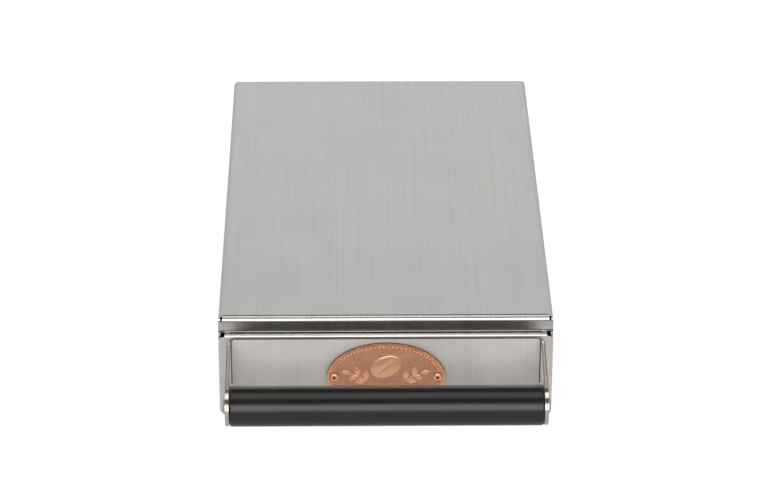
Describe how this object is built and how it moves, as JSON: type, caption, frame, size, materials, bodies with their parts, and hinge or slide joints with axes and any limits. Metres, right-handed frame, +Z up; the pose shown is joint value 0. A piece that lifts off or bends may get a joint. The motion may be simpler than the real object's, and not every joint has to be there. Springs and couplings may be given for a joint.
{
  "type": "coffee knock drawer",
  "caption": "Low folded-steel housing on rubber feet with a pull-out tray for spent coffee grounds, a rubber-sleeved knock bar in the tray and a round bar handle carried on a U bracket.",
  "frame": {"origin": "middle of the overall box's base, on the table under the feet", "axes": "+X to the right seen from the front, +Y from the handle to the rear panel, +Z up from the table"},
  "size_m": [0.18, 0.3528, 0.06],
  "materials": {
    "brushed_sheet": "stainless sheet, brushed from front to back",
    "satin_fastener": "satin stainless",
    "bright_rod": "smooth turned steel",
    "runner_aluminium": "satin extruded",
    "black_grip": "semi-matt black",
    "black_rubber": "matt black rubber",
    "white_nylon": "natural nylon",
    "copper_plate": "pressed copper-coloured plate with a raised bright rim"
  },
  "bodies": {
    "housing": {"housing_shell": "brushed_sheet", "rear_panel": "brushed_sheet", "rear_screw_left_lower": "satin_fastener", "rear_screw_left_upper": "satin_fastener", "rear_screw_right_lower": "satin_fastener", "rear_screw_right_upper": "satin_fastener", "rear_bumper_left": "black_rubber", "rear_bumper_right": "black_rubber", "base_plate": "brushed_sheet", "foot_front_left": "black_rubber", "foot_front_right": "black_rubber", "foot_rear_left": "black_rubber", "foot_rear_right": "black_rubber", "foot_screw_front_left": "satin_fastener", "foot_screw_front_right": "satin_fastener", "foot_screw_rear_left": "satin_fastener", "foot_screw_rear_right": "satin_fastener", "runner_left": "runner_aluminium", "runner_right": "runner_aluminium", "glide_strip_left": "white_nylon", "glide_strip_right": "white_nylon", "stop_block_left": "white_nylon", "stop_block_right": "white_nylon"},
    "drawer": {"drawer_tray": "brushed_sheet", "drawer_front": "brushed_sheet", "handle_bracket": "brushed_sheet", "bracket_nut_left_lower": "satin_fastener", "bracket_nut_left_upper": "satin_fastener", "bracket_nut_right_lower": "satin_fastener", "bracket_nut_right_upper": "satin_fastener", "handle_bar": "black_grip", "handle_screw_left": "satin_fastener", "handle_screw_right": "satin_fastener", "badge_plate": "copper_plate", "badge_rivet_left": "copper_plate", "badge_rivet_right": "copper_plate", "knock_bar_core": "bright_rod", "knock_bar_sleeve": "black_rubber", "knock_bar_washer_left": "satin_fastener", "knock_bar_washer_right": "satin_fastener", "knock_bar_screw_left": "satin_fastener", "knock_bar_screw_right": "satin_fastener"}
  },
  "joints": [
    {"name": "drawer_slide", "type": "slide", "parent": "housing", "child": "drawer", "axis": [0, -1, 0], "range_m": [0, 0.2]}
  ]
}
